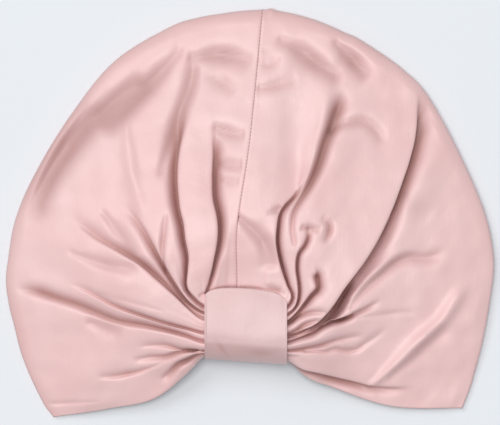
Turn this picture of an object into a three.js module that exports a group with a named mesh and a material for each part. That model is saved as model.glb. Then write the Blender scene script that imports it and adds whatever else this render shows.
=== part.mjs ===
import * as THREE from 'three';

// A satin sleep bonnet lying on its back, in millimetres, with +Z up and +Y towards the crown.
// Two halves of cloth meet along a centre seam. Each half is one wall: the pleated front, the
// rolled outer edge and the back that lies flat. A short band is folded round the gathered hem.

const CLOTH_THICKNESS = 1.6;
const SEAM_GAP = 0.3;
const SEAM_ALLOWANCE = 4;

// Heights of the front above the surface it lies on.
const HEM_HEIGHT_AT_BAND = 20;
const GATHER_HEIGHT_AT_BAND = 31.5;
const TOP_SEAM_HEIGHT = 30.4;
const HEM_HEIGHT_MIDWAY = 10;
const CROWN_HEIGHT = 40;
const HEM_SHOULDER_HEIGHT = 5;
const CROWN_SHOULDER_HEIGHT = 20;
const CORNER_EDGE_HEIGHT = 3.4;
const CROWN_EDGE_HEIGHT = 7;
const EDGE_ROLL_WIDTH = 9;

// The band, in a frame of its own that is turned to lie as the real one does.
const BAND_LENGTH = 50;
const BAND_WALL = 1.5;
const BAND_CENTER = [-2.5, -69.5];
const BAND_TURN_DEG = -4.5;
const BAND_TOP_BOW = 2.5;
const BAND_CORNER_DROP = 3;

// Where the back's gathered hem ends beside the back seam.
const BACK_HEM_END_X = 62;
const BACK_HEM_END_Y = -107;
const NAPE_Y = -74;
const NAPE_HOLLOW = 1.8;

// Stations along a guide line, as fractions of its way from the centre seam to the outer edge.
const STATIONS = [0, 0.12, 0.2, 0.4, 0.68, 1];

// Guide lines of the cloth, from the hem round to the centre seam. A fold is a valley, a crest
// is the cloth standing between two valleys. Each has its points at the stations: in the band,
// at the band's edge, near it, a quarter of the way, midway, and on the outer edge. sink is how
// deep the valley is at the band, near it, a quarter of the way and midway.
const LEFT_GUIDES = [
  { name: 'hem', sink: [0, 0, 0, 0],
    line: [[-9.3, -86.4], [-28, -86.4], [-38, -98], [-57, -113], [-88, -121.5], [-123, -127]] },
  { name: 'hem fold', sink: [3, 4, 4, 1],
    line: [[-9.3, -85.4], [-28, -85.4], [-38, -90], [-52, -100], [-92, -114], [-130, -117]] },
  { name: 'hem crest', sink: [0, 0, 0, 0],
    line: [[-9.3, -84.2], [-28, -84.6], [-38, -87], [-60, -94.5], [-98, -105], [-137, -102.5]] },
  { name: 'low fold', sink: [4, 6, 4, 1],
    line: [[-9.3, -82], [-28, -83], [-39, -83.3], [-60, -84.5], [-100, -90], [-143, -87]] },
  { name: 'low crest', sink: [0, 0, 0, 0],
    line: [[-9.3, -79.5], [-28, -80.5], [-39, -79], [-63, -77], [-106, -74], [-147, -71]] },
  { name: 'long fold', sink: [4, 6, 5, 4],
    line: [[-9.3, -76.5], [-28, -78], [-41, -75], [-66, -69.5], [-110, -56], [-151, -54]] },
  { name: 'long crest', sink: [0, 0, 0, 0],
    line: [[-9.3, -74], [-28, -75.5], [-41, -73], [-66, -66], [-109, -50], [-152.4, -42]] },
  { name: 'side fold', sink: [4, 6, 4, 2],
    line: [[-9.3, -71.5], [-28, -73], [-41, -70.5], [-66, -63], [-106, -44.5], [-150.5, -24]] },
  { name: 'side crest', sink: [0, 0, 0, 0],
    line: [[-9.3, -67], [-28, -68.5], [-40, -63], [-64, -50], [-104, -26], [-145.5, 0]] },
  { name: 'flank fold', sink: [4, 6, 5, 2],
    line: [[-9.3, -63], [-28, -64.5], [-38, -57.5], [-57, -38.5], [-93, -13], [-135, 24]] },
  { name: 'flank crest', sink: [0, 0, 0, 0],
    line: [[-9.3, -61], [-28, -62], [-37, -56.3], [-55, -35], [-88, -4], [-125, 42]] },
  { name: 'bend fold', sink: [4, 7, 7, 3],
    line: [[-9.3, -59], [-28, -60], [-36, -55], [-53, -30.5], [-80, 5], [-112, 62]] },
  { name: 'bend crest', sink: [0, 0, 0, 0],
    line: [[-9.3, -57], [-28, -58.2], [-34.5, -52.5], [-47, -26], [-62, 24], [-83, 97]] },
  { name: 'tall fold', sink: [4, 8, 9, 6],
    line: [[-9.3, -55.5], [-27.5, -56], [-32.5, -51], [-41, -23], [-47, 30], [-50, 117]] },
  { name: 'tall crest', sink: [0, 0, 0, 0],
    line: [[-9.3, -54], [-26.5, -52], [-29, -45], [-31, -20], [-35, 38], [-33, 122.7]] },
  { name: 'deep fold', sink: [3, 7, 9, 8],
    line: [[-11, -53], [-24, -48.5], [-22.5, -40], [-19, -18], [-22, 38], [-19, 125.2]] },
  { name: 'panel crest', sink: [0, 0, 0, 0],
    line: [[-12, -50.8], [-15, -47.5], [-14.5, -38], [-13, -14], [-11, 43], [-6, 127]] },
  { name: 'seam', sink: [0, 1, 1, 1],
    line: [[-8, -50.3], [-8, -47], [-8, -36], [-8, -10], [0, 46], [8, 128]] },
];
const RIGHT_GUIDES = [
  { name: 'hem', sink: [0, 0, 0, 0],
    line: [[-6.7, -88.2], [23, -90.6], [33, -99.5], [52, -108], [88, -120], [133, -121.5]] },
  { name: 'hem fold', sink: [3, 4, 4, 3],
    line: [[-6.7, -87.2], [23, -89.3], [34, -97], [54, -102.5], [90, -108], [137.5, -110]] },
  { name: 'hem crest', sink: [0, 0, 0, 0],
    line: [[-6.7, -86], [23, -87.7], [34, -91], [57, -94], [92, -96], [141, -98]] },
  { name: 'low fold', sink: [4, 5, 4, 1],
    line: [[-6.7, -84], [23, -84.5], [35, -83.3], [57, -80.5], [95, -78], [146, -78]] },
  { name: 'low crest', sink: [0, 0, 0, 0],
    line: [[-6.7, -81], [23, -81.5], [35, -79.5], [56, -74], [95, -62], [150, -55]] },
  { name: 'side fold', sink: [4, 6, 6, 2],
    line: [[-6.7, -78], [23, -78.5], [34, -75], [57, -64], [90, -45], [152.4, -27]] },
  { name: 'side crest', sink: [0, 0, 0, 0],
    line: [[-6.7, -75.7], [23, -76.2], [33.5, -72.8], [52, -57.5], [82, -32], [148, -3]] },
  { name: 'flank slope', sink: [1, 3, 4, 3],
    line: [[-6.7, -74.3], [23, -75], [33, -71.5], [53, -53], [92, 0], [132, 36]] },
  { name: 'great fold', sink: [4, 8, 10, 9],
    line: [[-6.7, -72.8], [23, -73.6], [32.5, -70.2], [51, -49.5], [86, 7], [107.5, 79.5]] },
  { name: 'great crest', sink: [0, 0, 0, 0],
    line: [[-6.7, -70], [23, -71], [31.5, -67], [46.5, -47], [79, 9], [97, 89.5]] },
  { name: 'cup fold', sink: [4, 6, 6, 0],
    line: [[-6.7, -66], [23, -66.5], [31.5, -59], [41.5, -41], [68, 16], [86, 98]] },
  { name: 'cup crest', sink: [0, 0, 0, 0],
    line: [[-6.7, -63], [23, -63.5], [29.5, -54.5], [36, -30], [60, 22], [76, 104.7]] },
  { name: 'hook fold', sink: [4, 6, 6, 0],
    line: [[-6.7, -60], [23, -60.5], [28.5, -54], [31, -26], [54, 30], [67, 110.3]] },
  { name: 'hook crest', sink: [0, 0, 0, 0],
    line: [[-6.7, -58], [22.7, -58.3], [27.5, -51], [28.7, -19], [49.5, 36], [60, 113.3]] },
  { name: 'tall fold', sink: [3, 5, 7, 7],
    line: [[-6.7, -56.5], [22.3, -56.3], [26.5, -49], [26, -13], [44.5, 45], [52, 117]] },
  { name: 'tall crest', sink: [0, 0, 0, 0],
    line: [[-6.7, -55], [21.7, -54.8], [24.6, -46], [22, -12], [36, 34], [43, 120.7]] },
  { name: 'deep fold', sink: [3, 7, 8, 2],
    line: [[-5, -53.5], [20.5, -53], [21.5, -41], [17, -13], [29, 24], [35, 123.3]] },
  { name: 'panel crest', sink: [0, 0, 0, 0],
    line: [[-3.5, -51], [7, -48.3], [9, -38], [9, -14], [16, 40], [22, 126.4]] },
  { name: 'seam', sink: [0, 1, 1, 1],
    line: [[-8, -50.3], [-8, -47], [-8, -36], [-8, -10], [0, 46], [8, 128]] },
];

// A gap between guides wider than this, in the guides' own measure, takes two columns, not one.
const WIDE_GAP = 0.06;
// Rows of the front, as fractions of the way along a guide line.
const FRONT_ROWS = [0, 0.12, 0.16, 0.2, 0.26, 0.33, 0.4, 0.5, 0.6, 0.72, 0.85];
// Rows across the rolled edge, as fractions of its width, and round its underside, in degrees.
const ROLL_ROWS = [1, 0.62, 0.32, 0.12, 0.02];
const UNDER_ROWS_DEG = [0, 45, 90];
// Rows of the back, as fractions of the way from the underside of the roll to the nape.
const BACK_ROWS = [0.2, 0.45, 0.7, 0.88, 1];
// The seam allowance takes the last stretch of a half, in the guides' own measure.
const ALLOWANCE_START = 0.986;
const SEAM_COLUMNS = [0.983, ALLOWANCE_START, 1];

const smoothStep = (t) => {
  const c = Math.min(Math.max(t, 0), 1);
  return c * c * (3 - 2 * c);
};

// Value at x of a smooth curve through values at uneven knots (a cubic in each interval, with
// the slope at a knot taken from the parabola through it and its neighbours).
function smoothCurve(knots, values, x) {
  const last = knots.length - 1;
  const slope = (i) => {
    if (i === 0) return (values[1] - values[0]) / (knots[1] - knots[0]);
    if (i === last) return (values[last] - values[last - 1]) / (knots[last] - knots[last - 1]);
    const before = knots[i] - knots[i - 1];
    const after = knots[i + 1] - knots[i];
    const slopeBefore = (values[i] - values[i - 1]) / before;
    const slopeAfter = (values[i + 1] - values[i]) / after;
    return (slopeBefore * after + slopeAfter * before) / (before + after);
  };
  let i = 0;
  while (i < last - 1 && x > knots[i + 1]) i += 1;
  const h = knots[i + 1] - knots[i];
  const t = (x - knots[i]) / h;
  const t2 = t * t;
  const t3 = t2 * t;
  return (2 * t3 - 3 * t2 + 1) * values[i] + (t3 - 2 * t2 + t) * h * slope(i)
    + (3 * t2 - 2 * t3) * values[i + 1] + (t3 - t2) * h * slope(i + 1);
}

// Straight lines between values at the knots.
function straightCurve(knots, values, x) {
  let i = 0;
  while (i < knots.length - 2 && x > knots[i + 1]) i += 1;
  return THREE.MathUtils.lerp(values[i], values[i + 1], (x - knots[i]) / (knots[i + 1] - knots[i]));
}

// Where each guide stands between the hem (0) and the seam (1): the mean of its share of the
// outer edge's length and its share of the way round the band.
function guideKnots(guides) {
  const share = (station) => {
    const lengths = [0];
    for (let i = 1; i < guides.length; i += 1) {
      const [x0, y0] = guides[i - 1].line[station];
      const [x1, y1] = guides[i].line[station];
      lengths.push(lengths[i - 1] + Math.hypot(x1 - x0, y1 - y0));
    }
    return lengths.map((length) => length / lengths[lengths.length - 1]);
  };
  const edge = share(5);
  const band = share(2);
  return edge.map((value, i) => (value + band[i]) / 2);
}

// Plan position at across (hem to seam) and along (band to outer edge).
function planPoint(guides, knots, across, along) {
  const coordinate = (axis) => smoothCurve(
    knots,
    guides.map((guide) => smoothCurve(STATIONS, guide.line.map((point) => point[axis]), along)),
    across,
  );
  return new THREE.Vector2(coordinate(0), coordinate(1));
}

// Height of the front without its folds, before the outer edge rolls down.
function swellHeight(across, along) {
  const rise = smoothStep(across / 0.24);
  const nearSeam = smoothStep((across - 0.86) / 0.1);
  const gathers = THREE.MathUtils.lerp(HEM_HEIGHT_AT_BAND, GATHER_HEIGHT_AT_BAND, rise);
  const atBand = THREE.MathUtils.lerp(gathers, TOP_SEAM_HEIGHT, nearSeam);
  const lift = Math.sin(Math.min(across / 0.7, 1) * Math.PI / 2) ** 0.8;
  const midway = THREE.MathUtils.lerp(HEM_HEIGHT_MIDWAY, CROWN_HEIGHT, lift);
  const shoulder = THREE.MathUtils.lerp(HEM_SHOULDER_HEIGHT, CROWN_SHOULDER_HEIGHT, lift);
  return smoothCurve([0, 0.12, 0.45, 0.85, 1], [atBand, atBand, midway, shoulder, shoulder * 0.6], along);
}

const edgeHeight = (across) => (
  THREE.MathUtils.lerp(CORNER_EDGE_HEIGHT, CROWN_EDGE_HEIGHT, smoothStep(across / 0.3))
);

// How far the cloth sinks into its folds, fading out before the outer edge rolls.
function foldSink(guides, knots, across, along) {
  const sinkOf = ([atBand, near, quarter, midway]) => (
    straightCurve([0, 0.12, 0.2, 0.4, 0.68, 0.92, 1], [atBand, atBand, near, quarter, midway, 0, 0], along)
  );
  return straightCurve(knots, guides.map(({ sink }) => sinkOf(sink)), across);
}

// One half of the crown: a grid of outer points, hem to seam by band to nape, and how thick the
// cloth is at each column.
function crownGrid(guides, side) {
  const knots = guideKnots(guides);
  const columns = [];
  for (let i = 0; i < knots.length - 1; i += 1) {
    const gap = knots[i + 1] - knots[i];
    const parts = gap > WIDE_GAP ? 3 : 2;
    for (let part = 0; part < parts; part += 1) columns.push(knots[i] + gap * part / parts);
  }
  columns.push(...SEAM_COLUMNS);
  const seamShift = (across) => (across === 1 ? side * SEAM_GAP / 2 : 0);

  const smooth = [];
  const folded = [];
  for (const across of columns) {
    const plan = (along) => planPoint(guides, knots, across, along);
    const rim = plan(1);
    const inward = plan(0.97).sub(rim).normalize();
    const columnLength = plan(0.68).distanceTo(rim) / (1 - STATIONS[4]);
    const rimHeight = edgeHeight(across);
    const rollWidth = Math.min(EDGE_ROLL_WIDTH, columnLength * 0.1);
    const smoothColumn = [];
    const foldedColumn = [];
    const add = (x, y, z, sink) => {
      smoothColumn.push(new THREE.Vector3(x + seamShift(across), y, z));
      foldedColumn.push(new THREE.Vector3(x + seamShift(across), y, z - sink));
    };
    for (const along of FRONT_ROWS) {
      const point = plan(along);
      add(point.x, point.y, swellHeight(across, along), foldSink(guides, knots, across, along));
    }
    for (const part of ROLL_ROWS) {
      const along = 1 - part * rollWidth / columnLength;
      const point = plan(along);
      const roll = Math.sqrt(1 - (1 - part) ** 2);
      const height = THREE.MathUtils.lerp(rimHeight, swellHeight(across, along), roll);
      add(point.x, point.y, height, 0);
    }
    for (const degrees of UNDER_ROWS_DEG) {
      const angle = THREE.MathUtils.degToRad(degrees);
      const reach = rimHeight * (1 - Math.cos(angle));
      const point = rim.clone().addScaledVector(inward, reach);
      const height = degrees === 90 ? 0 : rimHeight * (1 - Math.sin(angle));
      add(point.x, point.y, height, 0);
    }
    const start = rim.clone().addScaledVector(inward, rimHeight);
    const nape = NAPE_Y + (BACK_HEM_END_Y - NAPE_Y) * (1 - across) ** NAPE_HOLLOW;
    const end = new THREE.Vector2(side * BACK_HEM_END_X * (1 - across), nape);
    for (const part of BACK_ROWS) {
      const point = start.clone().lerp(end, part);
      add(point.x, point.y, 0, 0);
    }
    smooth.push(smoothColumn);
    folded.push(foldedColumn);
  }
  const thickness = columns.map((across) => (across < ALLOWANCE_START ? CLOTH_THICKNESS : SEAM_ALLOWANCE));
  return { smooth, folded, thickness };
}

// Unit directions square to a grid of points, found from each point's neighbours. Along the seam
// they have no part across it, so that the allowance stands upright beside the other half's.
function gridNormals(grid, columnsAtSeam) {
  const clampIndex = (i, count) => Math.min(Math.max(i, 0), count - 1);
  const up = new THREE.Vector3(0, 0, 1);
  return grid.map((column, i) => column.map((_, j) => {
    const before = grid[clampIndex(i - 1, grid.length)][j];
    const after = grid[clampIndex(i + 1, grid.length)][j];
    const below = column[clampIndex(j - 1, column.length)];
    const above = column[clampIndex(j + 1, column.length)];
    const along = above.clone().sub(below);
    const normal = after.clone().sub(before).cross(along);
    if (i >= grid.length - columnsAtSeam) {
      const acrossSeam = along.cross(up).normalize();
      normal.addScaledVector(acrossSeam, -normal.dot(acrossSeam));
    }
    return normal.normalize();
  }));
}

// A closed wall between two grids of points with the same rows and columns.
function wallGeometry(outer, inner) {
  const columns = outer.length;
  const rows = outer[0].length;
  const positions = [...outer, ...inner].flatMap((column) => column.flatMap((p) => [p.x, p.y, p.z]));
  const at = (i, j) => i * rows + j;
  const innerAt = (i, j) => columns * rows + at(i, j);
  const index = [];
  const quad = (a, b, c, d) => index.push(a, b, c, a, c, d);
  for (let i = 0; i < columns - 1; i += 1) {
    for (let j = 0; j < rows - 1; j += 1) {
      quad(at(i, j), at(i + 1, j), at(i + 1, j + 1), at(i, j + 1));
      quad(innerAt(i, j), innerAt(i, j + 1), innerAt(i + 1, j + 1), innerAt(i + 1, j));
    }
    quad(at(i, 0), innerAt(i, 0), innerAt(i + 1, 0), at(i + 1, 0));
    quad(at(i + 1, rows - 1), innerAt(i + 1, rows - 1), innerAt(i, rows - 1), at(i, rows - 1));
  }
  for (let j = 0; j < rows - 1; j += 1) {
    quad(at(0, j + 1), innerAt(0, j + 1), innerAt(0, j), at(0, j));
    quad(at(columns - 1, j), innerAt(columns - 1, j), innerAt(columns - 1, j + 1), at(columns - 1, j + 1));
  }
  const geometry = new THREE.BufferGeometry();
  geometry.setAttribute('position', new THREE.Float32BufferAttribute(positions, 3));
  geometry.setIndex(index);
  geometry.computeVertexNormals();
  return geometry;
}

function crownHalf(guides, side) {
  const { smooth, folded, thickness } = crownGrid(guides, side);
  const normals = gridNormals(smooth, SEAM_COLUMNS.length);
  // Seen from above, the left half's columns run clockwise and the right half's the other way,
  // so the normals point out of the left half and into the right one.
  const inner = folded.map((column, i) => (
    column.map((point, j) => point.clone().addScaledVector(normals[i][j], side * thickness[i]))
  ));
  return side < 0 ? wallGeometry(folded, inner) : wallGeometry(folded.toReversed(), inner.toReversed());
}

// The band's outer path round the gathers, from its front edge at the seam over the face, under
// the hem and back to the seam, as plan distance from the band's centre and height.
const BAND_PATH = [
  { across: 21.5, height: 33.6 },
  { across: 14, height: 35.3 },
  { across: 2, height: 36.5 },
  { across: -10, height: 35.6 },
  { across: -17, height: 32.2 },
  { across: -21.3, height: 26 },
  { across: -21.8, height: 20.5 },
  { across: -18.5, height: 15.5 },
  { across: -10, height: 13.2 },
  { across: 4, height: 13 },
  { across: 17, height: 13.6 },
];
const BAND_PATH_STEPS = 22;
const BAND_COLUMNS = [-0.5, -0.47, -0.4, -0.2, 0, 0.2, 0.4, 0.47, 0.5];

function centerBand() {
  const pathPoints = BAND_PATH.map(({ across, height }) => new THREE.Vector2(across, height));
  const path = new THREE.SplineCurve(pathPoints);
  const outer = [];
  const inner = [];
  for (const part of BAND_COLUMNS) {
    const outerColumn = [];
    const innerColumn = [];
    const offCenter = Math.abs(part) * 2;
    for (let k = 0; k <= BAND_PATH_STEPS; k += 1) {
      const along = k / BAND_PATH_STEPS;
      const point = path.getPoint(along);
      const tangent = path.getTangent(along);
      const nearTop = Math.max(0, 1 - 5 * along);
      const bow = nearTop * (BAND_TOP_BOW * (1 - offCenter ** 2) - BAND_CORNER_DROP * offCenter ** 8);
      const y = point.x + bow;
      outerColumn.push(new THREE.Vector3(part * BAND_LENGTH, y, point.y));
      innerColumn.push(new THREE.Vector3(
        part * BAND_LENGTH, y - tangent.y * BAND_WALL, point.y + tangent.x * BAND_WALL,
      ));
    }
    outer.push(outerColumn);
    inner.push(innerColumn);
  }
  return wallGeometry(outer.toReversed(), inner.toReversed());
}

const satin = () => new THREE.MeshStandardMaterial({ color: 0xe6c3be, roughness: 0.42, metalness: 0 });

function namedMesh(name, geometry) {
  const mesh = new THREE.Mesh(geometry, satin());
  mesh.name = name;
  return mesh;
}

const band = namedMesh('center_band', centerBand());
band.rotation.z = THREE.MathUtils.degToRad(BAND_TURN_DEG);
band.position.set(BAND_CENTER[0], BAND_CENTER[1], 0);

const bonnet = new THREE.Group();
bonnet.add(
  namedMesh('crown_left', crownHalf(LEFT_GUIDES, -1)),
  namedMesh('crown_right', crownHalf(RIGHT_GUIDES, 1)),
  band,
);

// The origin is under the middle of the bonnet's box.
const box = new THREE.Box3().setFromObject(bonnet, true);
const middle = box.getCenter(new THREE.Vector3());
bonnet.position.set(-middle.x, -middle.y, -box.min.z);

export default bonnet;
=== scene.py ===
import math
from collections import namedtuple

import bpy
import numpy as np
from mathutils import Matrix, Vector


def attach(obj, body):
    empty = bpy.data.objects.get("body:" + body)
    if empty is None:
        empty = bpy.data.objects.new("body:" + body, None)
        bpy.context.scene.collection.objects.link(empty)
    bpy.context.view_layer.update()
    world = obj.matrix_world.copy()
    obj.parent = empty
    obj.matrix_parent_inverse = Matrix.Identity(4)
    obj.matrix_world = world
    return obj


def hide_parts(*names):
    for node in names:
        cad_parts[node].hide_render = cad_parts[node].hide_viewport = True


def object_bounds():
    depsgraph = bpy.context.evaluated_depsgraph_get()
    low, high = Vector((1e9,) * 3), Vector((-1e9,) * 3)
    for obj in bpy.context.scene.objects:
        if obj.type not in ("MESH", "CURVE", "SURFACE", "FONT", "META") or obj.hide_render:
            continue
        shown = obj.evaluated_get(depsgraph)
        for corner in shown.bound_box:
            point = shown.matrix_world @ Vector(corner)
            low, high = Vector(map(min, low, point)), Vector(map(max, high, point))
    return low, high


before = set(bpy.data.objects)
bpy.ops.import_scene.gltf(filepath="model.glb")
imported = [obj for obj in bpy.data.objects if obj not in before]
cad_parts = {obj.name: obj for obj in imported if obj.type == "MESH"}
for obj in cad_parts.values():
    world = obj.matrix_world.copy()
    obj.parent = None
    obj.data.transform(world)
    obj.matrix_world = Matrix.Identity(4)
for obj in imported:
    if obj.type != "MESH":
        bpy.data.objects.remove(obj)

# A satin sleep bonnet lying on its back. Tables are in millimetres, meshes in metres.

MM = 0.001
cad_low, cad_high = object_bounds()

# ---------------------------------------------------------------- sizes, in millimetres

CLOTH_THICKNESS = 0.9
HEM_THICKNESS = 1.5
SEAM_GAP = 0.04
SEAM_GROOVE_DEPTH = 0.45
SEAM_GROOVE_WIDTH = 0.7
LUMP_PLACE = (13.5, 127.0)
LUMP_SIZE = 1.1
LUMP_WIDTH = 2.8
PUCKER_PITCH = 6.5
PUCKER_DEPTH = 0.4
PUCKER_REACH = 3.2
SEAM_ALLOWANCE = 2.4

HEM_HEIGHT_AT_BAND = 17.0
GATHER_HEIGHT_AT_BAND = 33.4
TOP_SEAM_HEIGHT = 30.6
HEM_HEIGHT_MIDWAY = 10.0
CROWN_HEIGHT = 39.0
HEM_SHOULDER_HEIGHT = 5.0
CROWN_SHOULDER_HEIGHT = 20.0
CORNER_EDGE_HEIGHT = 3.4
CROWN_EDGE_HEIGHT = 7.0
EDGE_ROLL_WIDTH = 9.0
GATHER_RISE_SHARE = 0.22  # share of the way from hem to seam in which the gathers reach full height

BAND_LENGTH = 50.8
BAND_WALL = 1.5
BAND_CENTER = (-2.5, -69.5)
BAND_SLANT_DEG = -4.0
BAND_RUN = 97.0
BAND_TOP_BOW = 2.5
BAND_CORNER_DROP = 3.5
STITCH_PITCH = 2.2
STITCH_REACH = 0.42  # how far from the seam a stitch prick shows
STITCH_SHARE = 0.45  # share of the pitch that a prick takes

BACK_HEM_END = (62.0, -107.0)
NAPE_Y = -74.0
NAPE_HOLLOW = 1.8

# Mesh rows: how many columns run from hem to seam, and rows from the band to the nape.
CROWN_COLUMNS = 300
FRONT_ROWS = 125
ROLL_ROWS = 11
UNDER_ROWS = 4
BACK_ROWS = 12
BAND_ROWS = 130
BAND_COLUMNS = 96
BORDER_COLUMNS = 4  # columns at each border that take the hem's or the seam's thickness

# How a fold is pressed in.
ROUTE_STEPS = 40
CREASE_ROUND = 0.35  # radius of a crease's bottom
CREASE_POWER = 1.3
CREASE_GAIN = 1.35  # how much deeper a crease is than its table says
DENT_GAIN = 1.7  # the same for a dent
SOFT_DENT = 0.6  # a fold softer than this counts as a dent
FADE_SHARE = 0.16  # share of a fold over which it fades out
POCKET_DEPTH = 4.2  # a fold that ends deeper than this doesn't fade
LIP_REACH = 7.0
LIP_CREST = 2.6  # how far from the valley a lip is pushed most, in slope widths
LIP_CLEAR_OF_SEAM = 7.0
SINK_IN_BAND = 0.1  # share of its depth that a fold keeps inside the band
SINK_BESIDE_BAND = 0.75  # the same at the band's edge

# How much painted shade darkens the colour in a fold, 0 to 1; RIM_SHADE is the painted shade at the rolled
# edge.
DENT_SHADE = 0.42
CORE_SHADE = 0.52
WIDE_SHADE = 0.20
RIM_SHADE = 0.17

BUCKLE_LENGTHS = (11.0, 55.0)
BUCKLE_SLOPE = 0.0045
BUCKLE_COUNT = 14
BUCKLE_SEED = 5
RIPPLE_HEIGHT = 0.16

# ---------------------------------------------------------------- the cloth's guide lines

# Stations along a guide line, as fractions of its way from the centre seam to the outer edge.
STATIONS = np.array([0, 0.12, 0.2, 0.4, 0.68, 1])
MIDWAY = STATIONS[4]

# Guide lines of the cloth from the hem round to the centre seam, each with its points at the
# stations: in the band, at the band's edge, near it, a quarter of the way, midway, on the edge.
LEFT_GUIDES = {
    "hem": [(-9.3, -88.6), (-28, -88.8), (-38, -98.2), (-57.5, -114), (-88, -121.5), (-123, -127)],
    "hem fold": [(-9.3, -86.9), (-28, -87), (-38, -90.6), (-52, -100), (-92, -114), (-130, -117)],
    "hem crest": [(-9.3, -85), (-28, -85.4), (-38, -87.3), (-60, -94.5), (-98, -105), (-137, -102.5)],
    "low fold": [(-9.3, -82), (-28, -83), (-39, -83.3), (-60, -84.5), (-100, -90), (-143, -87)],
    "low crest": [(-9.3, -79.5), (-28, -80.5), (-39, -79), (-63, -77), (-106, -74), (-147, -71)],
    "long fold": [(-9.3, -76.5), (-28, -78), (-41, -75), (-66, -69.5), (-110, -56), (-151, -54)],
    "long crest": [(-9.3, -74), (-28, -75.5), (-41, -73), (-66, -66), (-109, -50), (-152.4, -42)],
    "side fold": [(-9.3, -71.5), (-28, -73), (-41, -70.5), (-66, -63), (-106, -44.5), (-150.5, -24)],
    "side crest": [(-9.3, -67), (-28, -68.5), (-40, -63), (-64, -50), (-104, -26), (-145.5, 0)],
    "flank fold": [(-9.3, -63), (-28, -64.5), (-38, -57.5), (-57, -38.5), (-93, -13), (-135, 24)],
    "flank crest": [(-9.3, -61), (-28, -62), (-37, -56.3), (-55, -35), (-88, -4), (-125, 42)],
    "bend fold": [(-9.3, -59), (-28, -60), (-36, -55), (-53, -30.5), (-80, 5), (-112, 62)],
    "bend crest": [(-9.3, -57), (-28, -58.2), (-34.5, -52.5), (-47, -26), (-62, 24), (-83, 97)],
    "tall fold": [(-9.3, -55.5), (-27.5, -56), (-32.5, -51), (-41, -23), (-47, 30), (-50, 117)],
    "tall crest": [(-9.3, -54), (-26.5, -52), (-29, -45), (-31, -20), (-35, 38), (-33, 122.7)],
    "deep fold": [(-11, -53), (-24, -48.5), (-22.5, -40), (-19, -18), (-22, 38), (-19, 125.2)],
    "panel crest": [(-12, -50.8), (-15, -47.5), (-14.5, -38), (-13, -14), (-11, 43), (-6, 127)],
    "seam": [(-8, -50.3), (-8, -47), (-8, -36), (-8, -10), (0, 46), (8, 128)],
}
RIGHT_GUIDES = {
    "hem": [(-6.7, -89.6), (23, -91.8), (33, -99.8), (52, -108), (88, -120), (133, -121.5)],
    "hem fold": [(-6.7, -87.9), (23, -90), (34, -97), (54, -102.5), (90, -108), (137.5, -110)],
    "hem crest": [(-6.7, -86), (23, -87.7), (34, -91), (57, -94), (92, -96), (141, -98)],
    "low fold": [(-6.7, -84), (23, -84.5), (35, -83.3), (57, -80.5), (95, -78), (146, -78)],
    "low crest": [(-6.7, -81), (23, -81.5), (35, -79.5), (56, -74), (95, -62), (150, -55)],
    "side fold": [(-6.7, -78), (23, -78.5), (34, -75), (57, -64), (90, -45), (152.4, -27)],
    "side crest": [(-6.7, -75.7), (23, -76.2), (33.5, -72.8), (52, -57.5), (82, -32), (148, -3)],
    "flank slope": [(-6.7, -74.3), (23, -75), (33, -71.5), (53, -53), (92, 0), (132, 36)],
    "great fold": [(-6.7, -72.8), (23, -73.6), (32.5, -70.2), (51, -49.5), (86, 7), (107.5, 79.5)],
    "great crest": [(-6.7, -70), (23, -71), (31.5, -67), (46.5, -47), (79, 9), (97, 89.5)],
    "cup fold": [(-6.7, -66), (23, -66.5), (31.5, -59), (41.5, -41), (68, 16), (86, 98)],
    "cup crest": [(-6.7, -63), (23, -63.5), (29.5, -54.5), (36, -30), (60, 22), (76, 104.7)],
    "hook fold": [(-6.7, -60), (23, -60.5), (28.5, -54), (31, -26), (54, 30), (67, 110.3)],
    "hook crest": [(-6.7, -58), (22.7, -58.3), (27.5, -51), (28.7, -19), (49.5, 36), (60, 113.3)],
    "tall fold": [(-6.7, -56.5), (22.3, -56.3), (26.5, -49), (26, -13), (44.5, 45), (52, 117)],
    "tall crest": [(-6.7, -55), (21.7, -54.8), (24.6, -46), (22, -12), (36, 34), (43, 120.7)],
    "deep fold": [(-5, -53.5), (20.5, -53), (21.5, -41), (17, -13), (29, 24), (35, 123.3)],
    "panel crest": [(-3.5, -51), (7, -48.3), (9, -38), (9, -14), (16, 40), (22, 126.4)],
    "seam": [(-8, -50.3), (-8, -47), (-8, -36), (-8, -10), (0, 46), (8, 128)],
}

# ---------------------------------------------------------------- the folds

# A fold follows a route from the band outwards. depth is how far the cloth sinks at its start,
# middle and end (below zero it stands up as a ridge). left and right are how wide the slopes on
# the two sides of the route are, at its start and end. lean is how far the left lip hangs over
# the valley (below zero, the right lip). soft 0 is a crisp crease and 1 a round dent.
Fold = namedtuple("Fold", "route depth left right lean soft")

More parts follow.
